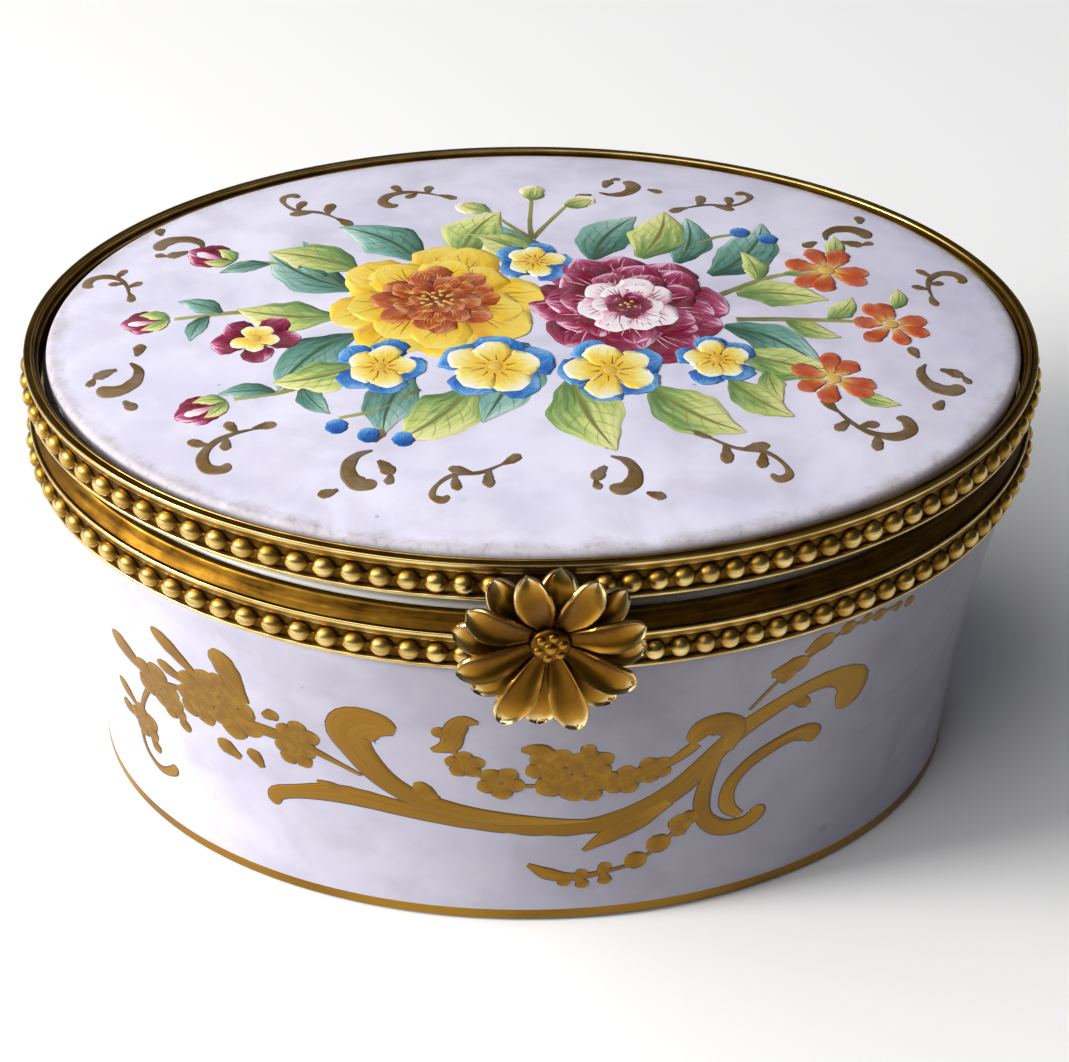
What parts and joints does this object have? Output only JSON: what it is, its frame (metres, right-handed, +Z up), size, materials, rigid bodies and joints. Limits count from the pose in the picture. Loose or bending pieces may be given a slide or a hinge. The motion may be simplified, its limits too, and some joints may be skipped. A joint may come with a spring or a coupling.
{
  "type": "oval porcelain trinket box",
  "caption": "Oval porcelain trinket box with beaded gilt-brass mounts, a domed lid hinged at the back and a sprung rosette clasp at the front.",
  "frame": {"origin": "middle of the oval on the plane that the foot ring rests on", "axes": "+Z up, +X along the oval's length, -Y towards the clasp, +Y towards the hinge"},
  "size_m": [0.0814, 0.0679, 0.042],
  "materials": {
    "porcelain": "gloss glaze, pale lilac outside and white inside, with painted flowers and matt gold ornament",
    "gilt_brass": "satin gilding, worn bright on its edges",
    "antique_brass": "cast, dark in its hollows and bright on its edges",
    "pin_brass": "plain drawn wire",
    "plaster": "matt, darkened by age"
  },
  "bodies": {
    "base": {"base_bowl": "porcelain", "base_ring": "gilt_brass", "base_ring_cement": "plaster", "base_bead_wire_left": "gilt_brass", "base_bead_wire_right": "gilt_brass", "base_hinge_leaf": "gilt_brass", "hinge_pin": "pin_brass"},
    "lid": {"lid_plaque": "porcelain", "lid_ring": "gilt_brass", "lid_ring_cement": "plaster", "lid_bead_wire_left": "gilt_brass", "lid_bead_wire_right": "gilt_brass", "lid_hinge_leaf": "gilt_brass"},
    "clasp": {"clasp_tongue": "antique_brass", "rosette_back_petals": "antique_brass", "rosette_front_petals": "antique_brass", "rosette_rivet": "antique_brass"}
  },
  "joints": [
    {"name": "lid_hinge", "type": "hinge", "parent": "base", "child": "lid", "pos_m": [0, 0.0322, 0.0347], "axis": [-1, 0, 0], "range_deg": [-1.65, 98]},
    {"name": "clasp_flex", "type": "hinge", "parent": "lid", "child": "clasp", "pos_m": [0, -0.03093, 0.03801], "axis": [-1, 0, 0], "range_deg": [0, 5], "stiffness_Nm_per_rad": 0.1}
  ]
}
